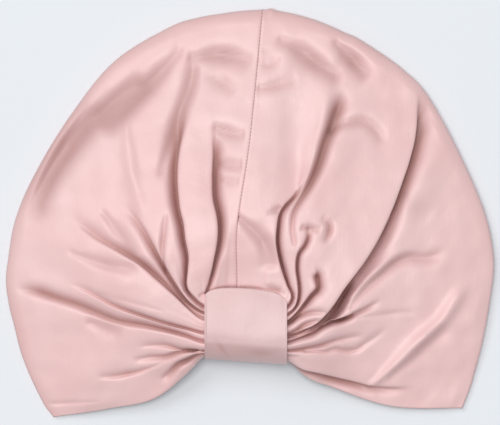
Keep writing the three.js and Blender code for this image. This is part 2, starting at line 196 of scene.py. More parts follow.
LEFT_FOLDS = [
    # deep fold beside the centre panel
    Fold([(-18, -55.5), (-26.5, -50.5), (-25, -42), (-23.3, -35), (-22, -28.8), (-20.4, -22), (-19, -10),
          (-19.6, -1.6), (-22, 9.5), (-22.4, 22), (-21.6, 40), (-21, 56)],
         (3, 8, 2), (0.8, 1.5), (2.2, 5), 1.8, 0),
    # tall fold
    Fold([(-18, -57.5), (-28.5, -56.5), (-34, -51), (-38, -45.5), (-38.4, -35.5), (-38.2, -26), (-40.2, -16),
          (-41.5, -6), (-43.8, 3), (-45, 12), (-45.5, 30), (-43, 48), (-39, 66)],
         (5, 8, 3), (1.0, 5.5), (0.8, 1.6), -1.8, 0),
    # bend fold
    Fold([(-18, -61), (-29, -60.5), (-36, -56), (-41, -51), (-47, -42.5), (-57, -25), (-66, -9),
          (-78, 8)], (5, 5, 1), (1.1, 3.4), (0.9, 1.6), -1.0, 0),
    # thin crease that makes a finger of cloth beside the tall fold
    Fold([(-51.5, -36), (-53, -22), (-52.6, -12), (-51.5, -2), (-49.5, 3)],
         (1.5, 2.2, 0.6), (1.2, 1.4), (1.0, 1.2), 0, 0.2),
    # flank fold
    Fold([(-18, -64.5), (-29, -64), (-38, -57.5), (-47, -48.5), (-58, -38.5), (-66, -31.5),
          (-78, -24), (-93, -15.5), (-113, 0)], (3, 4.5, 0.8), (0.9, 1.4), (2.2, 4.5), 1.2, 0),
    # side fold
    Fold([(-18, -73), (-29, -73), (-38, -71), (-50, -68), (-63, -64), (-84, -56.5), (-103, -46.5),
          (-114, -42)], (4, 3.2, 0.8), (0.8, 1.1), (1.3, 3), 0.9, 0),
    # long fold
    Fold([(-18, -78), (-29, -78), (-41, -75), (-63, -70), (-84, -66), (-97, -61), (-109, -56),
          (-122, -52), (-133, -48.5), (-149, -46)], (4, 3.4, 3.6), (0.9, 2.4), (1.3, 5), 0.9, 0),
    # low fold and its branch
    Fold([(-18, -83), (-29, -83.5), (-41, -83), (-53, -81), (-63, -81), (-72, -82)],
         (5, 3, 0.4), (0.9, 1.6), (1.2, 2.4), 0.6, 0),
    Fold([(-33, -83.4), (-38, -83.8), (-44, -85), (-53, -88), (-63, -89), (-75, -91)],
         (3.5, 2.8, 0.4), (1.8, 3), (0.9, 1.6), -0.8, 0),
    # skirt fold above the hem
    Fold([(-56, -92), (-60, -94.5), (-66, -97), (-75, -99.3), (-84, -101), (-97, -101)],
         (0.6, 2.6, 0.5), (1.0, 1.6), (1.3, 2.8), 0.6, 0),
    # hem fold
    Fold([(-18, -85.5), (-29, -86), (-38, -89.8), (-45, -93), (-50, -98), (-57, -105)],
         (4, 4.5, 0.6), (1.8, 4), (0.9, 1.6), -1.0, 0),
    # faint creases
    Fold([(-54, -59.5), (-75, -54), (-98, -48)], (0.2, 0.7, 0.2), (1.6, 2), (1.6, 2), 0, 0.5),
    Fold([(-95, -117), (-113, -118), (-130, -119)], (0.2, 0.7, 0.5), (1.5, 1.5), (1.5, 1.5), 0, 0.5),
    # broad dents inside the rolled edge
    Fold([(-44, 100), (-56, 87), (-67, 76), (-80, 63), (-94, 48)],
         (1.2, 3.4, 1.8), (5.5, 7), (6, 8), 0, 1),
    Fold([(-72, 82), (-88, 68), (-104, 52), (-119, 32), (-130, 10), (-134, -12)],
         (1.5, 4.2, 1.2), (9, 6), (10, 8), 0, 1),
    # soft hollow that carries the tall fold on to the top
    Fold([(-55, 26), (-49, 46), (-42, 66), (-36, 84), (-34, 100)],
         (1.0, 2.6, 1.6), (4.5, 4.5), (4.5, 4.5), 0, 1),
    # dents across the top
    Fold([(-36, 98), (-19, 99), (-6, 97), (4, 93)], (1.6, 2.4, 0.8), (4.5, 4.5), (5.5, 5.5), 0, 1),
    Fold([(-27, 86), (-16, 81), (-8, 74)], (0.5, 1.4, 0.5), (4.5, 4.5), (4.5, 4.5), 0, 1),
    # crease where the band's top edge presses in
    Fold([(-30, -49.5), (-26, -47.6), (-20, -46.2), (-12, -45.6), (-4, -45.7)],
         (1.5, 1.6, 1.9), (0.9, 0.9), (1.2, 1.2), 0, 0.2),
    # small dents between the deep fold and the seam
    Fold([(-21, 54), (-11, 50), (-2, 49)], (1.4, 1.7, 1.0), (3.2, 3.2), (4, 4), 0, 1),
    Fold([(-19, 31), (-4, 30)], (1.4, 1.3, 0.8), (4, 4), (4, 4), 0, 1),
    Fold([(-18, 21), (-6, 20)], (0.9, 0.9, 0.4), (2.5, 2.5), (2.5, 2.5), 0, 1),
    # standing ridge on the left of the crown
    Fold([(-77, 58), (-75, 39), (-71, 17), (-64, -4)], (-0.6, -1.6, -0.5), (4, 4), (4, 4), 0, 1),
    # soft dents round the flank fold
    Fold([(-90, 0), (-69, -27)], (0.8, 1.2, 0.6), (4, 4), (4, 4), 0, 1),
    Fold([(-110, -24), (-90, -31), (-68, -35)], (0.6, 1.4, 0.9), (3.5, 3.5), (3.5, 3.5), 0, 1),
    Fold([(-99, -68), (-78, -75)], (1.0, 1.4, 0.5), (5, 5), (5, 5), 0, 1),
]
RIGHT_FOLDS = [
    # deep fold beside the centre panel
    Fold([(14, -58), (23, -56), (25.5, -51), (23, -44), (20.5, -36), (18, -26), (16.7, -17),
          (17.2, -8), (19, 1), (22, 5.5), (27, 10.5), (31, 16), (36, 23)],
         (5, 8, 1.5), (0.9, 1.2), (1.2, 2.0), 1.6, 0),
    # tall fold, which starts between the deep and the hooked folds
    Fold([(26.9, -18), (26, -8), (27.2, 1), (30.4, 7.5), (35, 15), (39.5, 24), (43, 33), (46, 43), (50, 54),
          (55, 67), (61, 78)], (1.2, 5.5, 4), (1.4, 4.5), (1.4, 6), 0, 0),
    # hooked fold, with its cap and curl
    Fold([(14, -62), (23, -61), (28, -56), (30, -49), (30, -42), (29, -33), (30, -24.5), (34, -18.5),
          (35.8, -13.5), (34.6, -6.5)], (4, 5.5, 4), (0.7, 0.9), (0.8, 1.5), 0.6, 0),
    Fold([(32.5, -8.2), (36.5, -8.7), (44.5, -10)], (2.6, 2.6, 0.8), (1.4, 1.2), (1.4, 1.2), 0, 0.2),
    Fold([(45.5, -2.5), (49, -7), (48.5, -13), (45.5, -18)],
         (1.4, 3.0, 1.0), (1.6, 1.6), (1.8, 1.8), 0, 0.4),
    # cup fold, ending in a small pocket, and its two branches
    Fold([(14, -67), (24, -65.5), (29, -61), (33, -56), (37.5, -50), (41.5, -45), (41, -38.5)],
         (4, 6, 8), (0.7, 1.0), (1.0, 2.3), 0.8, 0),
    Fold([(14, -68.5), (24, -67), (30, -62.5), (38, -59.3), (48, -58)],
         (4, 3.4, 0.8), (1.1, 1.2), (1.2, 1.5), 0, 0),
    Fold([(14, -74), (24, -73.5), (28, -71), (33, -67), (44, -62)],
         (4, 3.6, 1), (1, 1.1), (1.1, 1.3), 0, 0),
    # great fold: the cloth on its left hangs over it
    Fold([(14, -76), (24, -75), (31, -71.5), (39, -67.5), (45, -61.5), (50, -55), (56.5, -45.5),
          (64, -36), (70, -28), (77, -17), (84.5, -2), (89.5, 10), (95, 25), (99.5, 38), (103.5, 54),
          (105.5, 68), (107, 80)], (5, 9.5, 3.5), (0.8, 1.0), (4.0, 10), 3.6, 0),
    # hollow under its lower end
    Fold([(38, -71.5), (45, -66), (51.5, -59.5), (58, -50), (65, -39)],
         (1.5, 8, 1.0), (2.2, 2.2), (2.6, 3.2), 0, 0),
    # creases on its lower side
    Fold([(36, -72), (42, -66.5), (50, -56.5), (59, -46)],
         (1.5, 1.9, 0.3), (0.9, 0.9), (0.9, 0.9), 0, 0.2),
    Fold([(42, -69.5), (45, -67), (53, -60.5), (63, -49)],
         (1.2, 1.6, 0.3), (0.9, 0.9), (0.9, 0.9), 0, 0.2),
    # side fold
    Fold([(14, -78.5), (24, -78.5), (31, -76), (39, -73), (44, -69.5), (50, -66.5), (58, -64.2),
          (69, -59.5), (75, -56.5), (84, -51)], (4, 5, 0.8), (1.0, 1.6), (1.1, 3), 1.2, 0),
    # small pocket below the side fold
    Fold([(49, -66.8), (57, -64.6), (65, -61.6)], (2, 4, 0.8), (1.0, 1.0), (2.4, 1.4), 0.6, 0),
    # ridge and valley beside the great fold
    Fold([(62, -51), (72, -40.5), (81, -33), (91, -25), (99, -22)],
         (-0.8, -1.6, -0.6), (2.5, 3), (2.5, 3), 0, 1),
    Fold([(62, -56), (72, -45.5), (81, -37.5), (91, -29.5), (98, -26.5), (110, -27), (123, -21)],
         (0.8, 2.0, 1.0), (2.2, 3), (2.5, 5), 0, 0.7),
    # side dent and low folds
    Fold([(68, -64), (84, -62), (94, -61), (104, -61)], (0.4, 1.0, 0.5), (2, 2), (2, 2), 0, 0.6),
    Fold([(14, -84), (25, -84), (34, -83), (44, -81), (53, -78), (63, -76), (74, -75)],
         (4, 2.8, 0.5), (1.5, 2), (1.1, 2.5), 0, 0.2),
    Fold([(34, -84.5), (41, -84.5), (47, -85), (53, -83.5), (59, -84.5), (66, -84), (72, -80),
          (78, -76), (86, -69)], (1.5, 2, 0.5), (1.3, 2.5), (1.1, 2), 0, 0.2),
    Fold([(14, -87.2), (24, -87.2), (33, -88.2)], (3, 2, 0.3), (1, 1), (1, 1), 0, 0),
    # hem fold: the cloth above hangs over a strip that shows below
    Fold([(14, -89), (24, -91.5), (31, -95.8), (44, -99.5), (53, -102), (63, -104.5), (75, -107.5),
          (88, -108.7), (104, -109.3)], (3.5, 4, 0.8), (0.9, 1.2), (3.5, 4), 1.4, 0),
    # bright ridge across the lower right
    Fold([(74, -107), (86, -97.5), (94, -91), (106, -79), (119, -67), (128, -54), (136, -40)],
         (-1.0, -3.6, -1.4), (4, 4.5), (3, 3.5), 0, 1),
    Fold([(88, -100), (99, -90), (112, -78), (125, -66)], (0.5, 1.2, 0.5), (3, 3), (5, 5), 0, 1),
    # broad dents at the top right
    Fold([(20, 108), (31, 102), (41, 94), (50, 88), (60, 83)], (1.4, 2.8, 1.4), (5, 5), (6, 6), 0, 1),
    Fold([(54, 106), (61, 99), (68, 91), (75, 83)], (1.2, 3.0, 1.2), (5, 5), (5, 5), 0, 1),
    Fold([(50, 52), (62, 57), (72, 57), (79, 51), (84, 42)], (1.5, 1.8, 0.8), (3, 3), (4, 4), 0, 1),
    # puckers beside the seam
    Fold([(5.5, 100), (11, 99.3), (17, 97)], (1.3, 0.9, 0.3), (1.3, 1.5), (1.3, 1.5), 0, 0.7),
    Fold([(5, 94.5), (13, 92.5), (20, 97)], (1.2, 1.4, 0.4), (1.6, 2), (1.6, 2), 0, 0.7),
    Fold([(6, 78), (16, 79.5), (31, 84)], (1.4, 1.4, 0.4), (3.5, 4), (3.5, 4), 0, 1),
    # smudge beside the deep fold
    Fold([(11, 1.5), (15, 3), (19, 6)], (0.6, 1.6, 0.8), (1.8, 2.2), (2.4, 2.2), 0, 1),
    # dents in the centre panel
    Fold([(-7, -2), (0, -8), (7, -16), (11, -26), (12, -37)],
         (1.2, 2.0, 1.0), (3.6, 5.5), (3.6, 5.5), 0, 1),
    Fold([(9, -44), (14, -46), (18, -48.5)], (0.4, 1.2, 1.3), (2, 2), (2, 2), 0, 1),
    # crease where the band's top edge presses in
    Fold([(-12, -45.6), (-4, -45.7), (6, -46.3), (15, -47.7), (22, -50)],
         (1.9, 1.9, 1.5), (0.9, 0.9), (1.2, 1.2), 0, 0.2),
    # soft dent at the right
    Fold([(96, 12), (114, -2)], (0.3, 0.6, 0.3), (7, 7), (7, 7), 0, 1),
]

# ---------------------------------------------------------------- curves and small helpers


def smooth_step(t):
    """3t^2 - 2t^3 on t cut to 0..1."""
    t = np.clip(t, 0, 1)
    return t * t * (3 - 2 * t)


def mix(a, b, t):
    """a + (b - a) t."""
    return a + (b - a) * t


def curve_weights(knots, at):
    """Weights of the knot values in a smooth curve through them: a cubic in each interval, whose
    slope at a knot is that of the parabola through the knot and its two neighbours."""
    knots = np.asarray(knots, float)
    at = np.asarray(at, float)
    step = np.diff(knots)
    count = len(knots)
    slopes = np.zeros((count, count))
    slopes[0, :2] = (-1 / step[0], 1 / step[0])
    slopes[-1, -2:] = (-1 / step[-1], 1 / step[-1])
    inner = np.arange(1, count - 1)
    before, after = step[:-1], step[1:]
    slopes[inner, inner - 1] = -after / (before * (before + after))
    slopes[inner, inner] = (after - before) / (before * after)
    slopes[inner, inner + 1] = before / (after * (before + after))
    cell = np.clip(np.searchsorted(knots, at, side="right") - 1, 0, count - 2)
    size = step[cell]
    t = (at - knots[cell]) / size
    rows = np.arange(len(at))
    weights = np.zeros((len(at), count))
    weights[rows, cell] += 2 * t**3 - 3 * t**2 + 1
    weights[rows, cell + 1] += 3 * t**2 - 2 * t**3
    weights += ((t**3 - 2 * t**2 + t) * size)[:, None] * slopes[cell]
    weights += ((t**3 - t**2) * size)[:, None] * slopes[cell + 1]
    return weights


def smooth_route(points, count):
    """count points at even spacing on a smooth curve through the given ones."""
    points = np.asarray(points, float)
    chord = np.r_[0, np.cumsum(np.hypot(*np.diff(points, axis=0).T))]
    if len(points) == 2:
        return points[0] + np.linspace(0, 1, count)[:, None] * (points[1] - points[0])
    dense = curve_weights(chord, np.linspace(0, chord[-1], count * 4)) @ points
    run = np.r_[0, np.cumsum(np.hypot(*np.diff(dense, axis=0).T))]
    even = np.linspace(0, run[-1], count)
    return np.stack([np.interp(even, run, dense[:, k]) for k in (0, 1)], axis=1)


def along_route(route, x, y):
    """For points x, y: the signed distance to the route (above zero on its left), how far along
    it the nearest point lies (0 to 1), and the unit vector to the route's left there."""
    start, end = route[:-1], route[1:]
    span = end - start
    length2 = (span**2).sum(axis=1)
    px = x[:, None] - start[None, :, 0]
    py = y[:, None] - start[None, :, 1]
    t = np.clip((px * span[:, 0] + py * span[:, 1]) / length2, 0, 1)
    dx = px - t * span[:, 0]
    dy = py - t * span[:, 1]
    gap2 = dx**2 + dy**2
    nearest = gap2.argmin(axis=1)
    rows = np.arange(len(x))
    t, dx, dy = t[rows, nearest], dx[rows, nearest], dy[rows, nearest]
    side = np.sign(span[nearest, 0] * dy - span[nearest, 1] * dx)
    side[side == 0] = 1
    part = (nearest + t) / len(span)
    normal = np.stack([-span[nearest, 1], span[nearest, 0]], axis=1)
    normal /= np.sqrt(length2[nearest])[:, None]
    return side * np.sqrt(gap2[rows, nearest]), part, normal


def press_fold(fold, x, y):
    """How a fold moves cloth at x, y: the sink in height, the shift in plan of its lips, and how
    much painted shade darkens its colour there, 0 to 1.
    Across the route the sink falls off as exp(-(d / w)^1.3) for a crease, rounded at its bottom, and
    as exp(-(d / w)^2) for a dent and for any wide side of a crease. The slopes are narrower near the
    band. A lip is pushed sideways over the valley, most at its crest. Along the route, straight lines
    join the three depths, and the end fades out, unless the fold ends deep, in a pocket."""
    sink = np.zeros(len(x))
    shade = np.zeros(len(x))
    shift = np.zeros((len(x), 2))
    route = smooth_route(fold.route, ROUTE_STEPS)
    reach = max(4.5 * max(*fold.left, *fold.right), 2.5 * LIP_REACH * (fold.lean != 0))
    near = (x > route[:, 0].min() - reach) & (x < route[:, 0].max() + reach)
    near &= (y > route[:, 1].min() - reach) & (y < route[:, 1].max() + reach)
    if not near.any():
        return sink, shift, shade
    d, part, normal = along_route(route, x[near], y[near])
    width = np.where(d > 0, mix(*fold.left, part), mix(*fold.right, part))
    other = np.where(d > 0, mix(*fold.right, part), mix(*fold.left, part))
    tight = mix(0.55, 1, smooth_step((part - 0.06) / 0.3))
    width, other = width * tight, other * tight
    u = np.abs(d) / width
    rounding = CREASE_ROUND / width
    crease = np.exp(-((np.sqrt(u**2 + rounding**2) - rounding) ** CREASE_POWER))
    dent = np.exp(-(u**2))
    round_side = np.maximum(fold.soft, smooth_step((width - 1.4) / 2.2))
    profile = mix(crease, dent, round_side)
    is_dent = fold.soft > SOFT_DENT
    depth = np.interp(part, (0, 0.5, 1), fold.depth) * (DENT_GAIN if is_dent else CREASE_GAIN)
    fade = smooth_step((1 - part) / FADE_SHARE) if abs(fold.depth[2]) < POCKET_DEPTH else 1.0
    sink[near] = depth * profile * fade
    # Painted shade in the fold's colour: along a dent's profile, and for a crease a dark core at the route
    # with a wider, lighter band beyond it.
    if is_dent:
        shade[near] = DENT_SHADE * profile * fade * np.clip(depth / 5, 0, 1)
    else:
        away = smooth_step((part - 0.04) / 0.22)
        narrow = profile ** np.where(width < 0.75 * other, 6, mix(4, 2, away))
        shade[near] = (CORE_SHADE * narrow + WIDE_SHADE * away * profile) * fade * smooth_step(depth / 7)
    if fold.lean:
        lip = np.where(d * fold.lean > 0, np.abs(d), 0)
        crest = LIP_CREST * width
        push = smooth_step(lip / crest) * np.exp(-((np.maximum(lip - crest, 0) / LIP_REACH) ** 2))
        push *= abs(fold.lean) * smooth_step((part - 0.06) / 0.2) * smooth_step((1 - part) / 0.2)
        shift[near] = -np.sign(fold.lean) * push[:, None] * normal
    return sink, shift, shade


# ---------------------------------------------------------------- the crown halves


def guide_knots(lines):
    """Where each guide stands between hem (0) and seam (1): the mean of its share of the outer
    edge's length and its share of the way round, close to the band."""
    shares = []
    on_edge, near_band = 5, 2
    for station in (on_edge, near_band):
        length = np.r_[0, np.cumsum(np.hypot(*np.diff(lines[:, station], axis=0).T))]
        shares.append(length / length[-1])
    return sum(shares) / 2


def crown_columns(knots):
    """Column places from hem to seam, closer where guides crowd: a spacing between one that is
    even in guides and one that is even in length."""
    even = np.linspace(0, 1, CROWN_COLUMNS)
    fine = np.linspace(0, 1, 2001)
    place = np.interp(fine, knots, np.linspace(0, 1, len(knots)))
    return np.interp(even, 0.55 * place + 0.45 * fine, fine)


def swell_height(across, along):
    """Height of the front without folds, before the edge rolls down, as a smooth curve along each
    column through its heights at the band, midway and at the shoulder."""
    rise = np.sin(np.minimum(across / GATHER_RISE_SHARE, 1) * math.pi / 2) ** 0.62
    near_seam = smooth_step((across - 0.86) / 0.1)
    gathers = mix(HEM_HEIGHT_AT_BAND, GATHER_HEIGHT_AT_BAND, rise)
    at_band = mix(gathers, TOP_SEAM_HEIGHT, near_seam)
    lift = np.sin(np.minimum(across / 0.7, 1) * math.pi / 2) ** 0.8
    midway = mix(HEM_HEIGHT_MIDWAY, CROWN_HEIGHT, lift)
    shoulder = mix(HEM_SHOULDER_HEIGHT, CROWN_SHOULDER_HEIGHT, lift)
    heights = np.stack([at_band, at_band, midway, shoulder, shoulder * 0.6], axis=1)
    weights = curve_weights((0, 0.12, 0.45, 0.85, 1), along.ravel()).reshape(*along.shape, 5)
    return np.einsum("cak,ck->ca", weights, heights)


def ripples(across, along, seed):
    """Small uneven waves that run with the pleats: a sum of sines across the cloth, strongest near
    the band and fading outwards."""
    random = np.random.default_rng(seed)
    total = np.zeros_like(along)
    for count in (7, 11, 17, 26):
        phase = random.uniform(0, 2 * math.pi)
        drift = random.uniform(-2.5, 2.5)
        size = random.uniform(0.6, 1)
        wave = np.sin(2 * math.pi * count * across[:, None] + phase + drift * along)
        reach = np.exp(-((along - 0.12) / (0.42 - 0.006 * count)) ** 2)
        total += size * (9 / count) ** 0.7 * wave * reach
    return total


def buckles(x, y, seed):
    """Low uneven buckles of slack cloth, in millimetres: sines of many directions whose lengths
    run from BUCKLE_LENGTHS[0] to [1], each as high as its length allows."""
    random = np.random.default_rng(seed)
    total = np.zeros_like(x)
    for length in np.geomspace(*BUCKLE_LENGTHS, BUCKLE_COUNT):
        turn = random.uniform(0, math.pi)
        phase = random.uniform(0, 2 * math.pi)
        bend = 0.5 * np.sin((x * math.sin(turn) - y * math.cos(turn)) / length + phase)
        way = (x * math.cos(turn) + y * math.sin(turn)) / length
        total += length * np.sin(2 * math.pi * way + phase + bend)
    return total * BUCKLE_SLOPE


def pressed_folds(folds, place, along):
    """What all the folds of a half do together at the given places: the sum of their sinks, held
    back inside the band and close to it, the sum of their shifts in plan, which fade at the seam,
    and their joint shade, 1 less the product of 1 less each one's."""
    x, y = place[..., 0].ravel(), place[..., 1].ravel()
    sink = np.zeros(len(x))
    shade = np.zeros(len(x))
    shift = np.zeros((len(x), 2))
    for fold in folds:
        fold_sink, fold_shift, fold_shade = press_fold(fold, x, y)
        sink += fold_sink
        shade = 1 - (1 - shade) * (1 - np.clip(fold_shade, 0, 1))
        shift += fold_shift
    near_band = mix(SINK_IN_BAND, 1, smooth_step((along - 0.03) / 0.11))
    near_band *= mix(SINK_BESIDE_BAND, 1, smooth_step((along - 0.12) / 0.12))
    sink = sink.reshape(along.shape) * near_band
    off_seam = np.hypot(*np.moveaxis(place - place[-1:], -1, 0))
    shift *= smooth_step(off_seam / LIP_CLEAR_OF_SEAM).reshape(-1, 1)
    return sink, shift.reshape(place.shape), shade.reshape(along.shape)


def turned_under(rim, inward, edge_height, across, side):
    """The edge's underside and the back, from the rim on: a quarter circle as tall as the edge
    turns it under, and straight lines on the surface carry it to the back hem, whose line hollows
    towards the nape as a power of the way from the seam."""
    angle = np.linspace(0, math.pi / 2, UNDER_ROWS + 1)[1:]
    under_reach = edge_height[:, None] * (1 - np.cos(angle))
    under_place = rim[:, None] + inward[:, None] * under_reach[..., None]
    under_height = edge_height[:, None] * (1 - np.sin(angle))
    start = rim + inward * edge_height[:, None]
    end_y = NAPE_Y + (BACK_HEM_END[1] - NAPE_Y) * (1 - across) ** NAPE_HOLLOW
    end = np.stack([side * BACK_HEM_END[0] * (1 - across), end_y], axis=1)
    back = np.linspace(0, 1, BACK_ROWS + 1)[1:]
    back_place = start[:, None] + (end - start)[:, None] * back[None, :, None]
    back_height = np.zeros(back_place.shape[:2])
    return (
        np.concatenate([under_place, back_place], axis=1),
        np.concatenate([under_height, back_height], axis=1),
    )


def seam_relief(points, front_count, side):
    """Shapes the cloth beside the centre seam, in place: a groove in which the two halves turn down
    and stop just short of each other, puckers that fade away from it, and the lump that its
    allowance makes on the top edge, each a bell curve across. Returns each point's distance from
    the seam and how far along the seam it lies."""
    off = np.hypot(*np.moveaxis(points[..., :2] - points[-1:, :, :2], -1, 0))
    run = np.cumsum(np.r_[0, np.hypot(*np.diff(points[-1, :, :2], axis=0).T)])
    on_front = smooth_step((points[..., 2] - 3) / 4)
    on_front[:, front_count:] = 0
    groove = SEAM_GROOVE_DEPTH * np.exp(-((off / SEAM_GROOVE_WIDTH) ** 2))
    pucker = np.sin(2 * math.pi * run / PUCKER_PITCH + 1.3 * np.sin(run / 11))
    pucker *= 0.6 + 0.4 * np.sin(run / 17)
    above_panel = smooth_step((run - 70) / 60)
    pucker = PUCKER_DEPTH * pucker[None, :] * np.exp(-((off / PUCKER_REACH) ** 2)) * above_panel
    points[..., 2] -= (groove + pucker) * on_front
    points[..., 0] += side * SEAM_GAP / 2 * np.exp(-((off / 1.5) ** 2))
    from_lump = np.hypot(points[..., 0] - LUMP_PLACE[0], (points[..., 1] - LUMP_PLACE[1]) * 0.8)
    lump = LUMP_SIZE * np.exp(-((from_lump / LUMP_WIDTH) ** 2))
    points[..., 1] += lump
    points[..., 2] += lump * on_front
    return off, run


def crown_sheet(lines, folds, side, seed):
    """The outer face of one half, as a grid of points from hem to seam by band to nape. Plan places
    are a smooth surface through the guide lines. The front's height is the swell less the folds,
    and a quarter ellipse brings it down over the outer edge."""
    lines = np.array(list(lines.values()), float)
    knots = guide_knots(lines)
    across = crown_columns(knots)
    weights = curve_weights(knots, across)

    def plan(along):
        """Plan places at along, which has a row for each column."""
        stations = curve_weights(STATIONS, along.ravel()).reshape(*along.shape, len(STATIONS))
        return np.einsum("cg,gsk,cas->cak", weights, lines, stations)

    ones = np.ones((len(across), 1))
    rim = plan(ones)[:, 0]
    inward = plan(ones * 0.97)[:, 0] - rim
    inward /= np.hypot(*inward.T)[:, None]
    column_length = np.hypot(*(plan(ones * MIDWAY)[:, 0] - rim).T) / (1 - MIDWAY)
    edge_height = mix(CORNER_EDGE_HEIGHT, CROWN_EDGE_HEIGHT, smooth_step(across / 0.3))
    roll_width = np.minimum(EDGE_ROLL_WIDTH, column_length * 0.1)

    # rows: the front in steps that shorten towards the band, then the roll in even angles
    t = np.linspace(0, 1, FRONT_ROWS)
    front = (0.62 * t + 0.38 * t**2.2)[None, :] * (1 - roll_width / column_length)[:, None]
    part = np.cos(np.linspace(0, math.pi / 2, ROLL_ROWS + 1)[1:])
    part[-1] = 0
    rolled = 1 - part[None, :] * (roll_width / column_length)[:, None]
    along = np.concatenate([front, rolled], axis=1)
    place = plan(along)
    swell = swell_height(across, along)
    from_rim = np.clip((1 - along) * (column_length / roll_width)[:, None], 0, 1)
    roll = np.sqrt(np.clip(1 - (1 - from_rim) ** 2, 0, 1))

    sink, shift, hidden = pressed_folds(folds, place, along)
    swell = swell - sink * smooth_step(from_rim * 1.2)
    swell += RIPPLE_HEIGHT * ripples(across, along, seed) * smooth_step(along / 0.15)
    slack = smooth_step((along - 0.15) / 0.3) * smooth_step(from_rim)
    swell += buckles(place[..., 0], place[..., 1], BUCKLE_SEED) * slack
    place = place + shift
    height = mix(edge_height[:, None], swell, roll)

    hidden_place, hidden_height = turned_under(rim, inward, edge_height, across, side)
    plan_all = np.concatenate([place, hidden_place], axis=1)
    height_all = np.concatenate([height, hidden_height], axis=1)
    points = np.concatenate([plan_all, height_all[..., None]], axis=2)
    off, run = seam_relief(points, along.shape[1], side)

    thread = np.stack([off * MM, np.broadcast_to(run * MM, off.shape)], axis=-1)
    shade = np.zeros(off.shape)
    # Painted shade at the rolled edge, all round the left half and only towards the top on the right, joined
    # with the folds' painted shade (hidden).
    rim_part = RIM_SHADE * (1 - from_rim) ** 1.3
    rim_part = rim_part * (1 if side < 0 else smooth_step((place[..., 1] - 70) / 40))
    shade[:, : along.shape[1]] = 1 - (1 - hidden) * (1 - rim_part)
    return points, across, thread, shade


def face_normals(points):
    """Unit normals of a grid from the cross product of its two differences."""
    du = np.gradient(points, axis=0)
    dv = np.gradient(points, axis=1)
    normal = np.cross(du, dv)
    return normal / np.maximum(np.linalg.norm(normal, axis=2, keepdims=True), 1e-9)


def blurred(grid, times):
    """The grid with each value replaced, times over, by the weighted mean of itself and its two
    neighbours along each axis in turn. At a border the value stands in for its missing neighbour."""
    for _ in range(times):
        for axis in (0, 1):
            last = grid.shape[axis] - 1
            places = np.arange(last + 1)
            before = np.take(grid, np.maximum(places - 1, 0), axis)
            after = np.take(grid, np.minimum(places + 1, last), axis)
            grid = (before + 2 * grid + after) / 4
    return grid


def wall_mesh(name, outer, inner, inside_out, thread, shade):
    """A closed wall between two grids of points, with a strip of faces on each of its four edges.
    thread holds two distances for each grid point, in metres, kept as the piece's UV map, and shade
    says how much painted shade darkens the outer face's colour, 0 to 1."""
    columns, rows = outer.shape[:2]
    index = np.arange(columns * rows).reshape(columns, rows)
    under = index + columns * rows

    def quads(grid):
        return np.stack([grid[:-1, :-1], grid[1:, :-1], grid[1:, 1:], grid[:-1, 1:]], axis=-1).reshape(-1, 4)

    def strip(a, b):
        return np.stack([a[:-1], a[1:], b[1:], b[:-1]], axis=-1)

    faces = np.concatenate([
        quads(index),
        quads(under)[:, ::-1],
        strip(under[:, 0], index[:, 0]),
        strip(index[:, -1], under[:, -1]),
        strip(index[0], under[0]),
        strip(under[-1], index[-1]),
    ])
    if inside_out:
        faces = faces[:, ::-1]
    points = np.concatenate([outer.reshape(-1, 3), inner.reshape(-1, 3)]) * MM
    mesh = bpy.data.meshes.new(name)
    mesh.from_pydata(points.tolist(), [], faces.tolist())
    mesh.polygons.foreach_set("use_smooth", np.ones(len(faces), bool))
    corner = np.empty(len(mesh.loops), np.int32)
    mesh.loops.foreach_get("vertex_index", corner)
    both = np.concatenate([thread.reshape(-1, 2), thread.reshape(-1, 2)])
    mesh.uv_layers.new(name="thread").data.foreach_set("uv", both[corner].ravel())
    fold_shade = mesh.attributes.new("fold_shade", "FLOAT", "POINT")
    fold_shade.data.foreach_set("value", np.concatenate([shade.ravel(), shade.ravel()]))
    mesh.update()
    piece = bpy.data.objects.new(name, mesh)
    bpy.context.scene.collection.objects.link(piece)
    return piece


def crown_half(name, points, across, thread, shade, side):
    """One half of the crown: the outer face and an inner face set in from it by the cloth's
    thickness, which grows at the hem and stands up as the allowance at the seam."""
    normal = blurred(face_normals(points), 6)
    normal /= np.maximum(np.linalg.norm(normal, axis=2, keepdims=True), 1e-9)
    normal *= 1 if side < 0 else -1
    columns = len(across)
    at_seam = np.arange(columns) >= columns - BORDER_COLUMNS
    at_hem = np.arange(columns) < BORDER_COLUMNS
    thickness = np.full(columns, CLOTH_THICKNESS)
    thickness[at_hem] = HEM_THICKNESS
    thickness[at_seam] = SEAM_ALLOWANCE
    seam_dir = np.gradient(points[-1, :, :2], axis=0)
    seam_dir /= np.hypot(*seam_dir.T)[:, None]
    square = np.stack([-seam_dir[:, 1], seam_dir[:, 0], np.zeros(len(seam_dir))], axis=1)
    upright = normal[at_seam]
    upright = upright - (upright * square).sum(axis=2, keepdims=True) * square
    normal[at_seam] = upright / np.linalg.norm(upright, axis=2, keepdims=True)
    inner = points - normal * thickness[:, None, None]
    return wall_mesh(name, points, inner, side > 0, thread, shade)


# ---------------------------------------------------------------- the band

# The band's outer path round the gathers: distance towards the crown from the band's middle, and
# height, from its front edge at the seam over the face and under the hem, back to the seam.
BAND_PATH = [
    (21.5, 33.6), (14, 35.4), (2, 36.6), (-7.5, 36.4), (-11, 35.5), (-16, 32.2), (-20, 27), (-21.8, 20.5),
    (-18.5, 15.5), (-10, 13.2), (4, 13), (17, 13.6),
]


